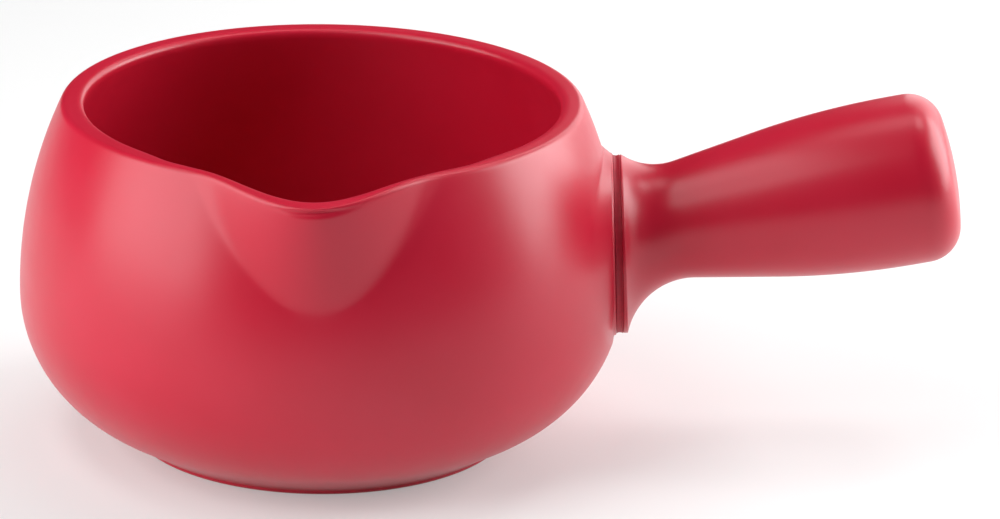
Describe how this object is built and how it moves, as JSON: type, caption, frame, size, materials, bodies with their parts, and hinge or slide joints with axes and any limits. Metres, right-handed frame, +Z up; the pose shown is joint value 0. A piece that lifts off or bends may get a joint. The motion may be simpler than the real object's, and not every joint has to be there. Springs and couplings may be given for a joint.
{
  "type": "milk pan",
  "caption": "Round-bellied glazed stoneware pan with a pressed pouring lip and a stubby rising handle, for warming and pouring milk or sauce.",
  "frame": {"origin": "on the table, on the bowl's axis, in the plane of the foot ring", "axes": "+X along the handle, away from the bowl; -Y out over the pouring lip; +Z up"},
  "size_m": [0.2114, 0.1379, 0.0807],
  "materials": {
    "red_glaze": "satin red glaze over stoneware",
    "seam_slip": "fired slip, thinly glazed"
  },
  "bodies": {
    "root": {"bowl": "red_glaze", "handle": "red_glaze", "joint_slip": "seam_slip"}
  },
  "joints": []
}
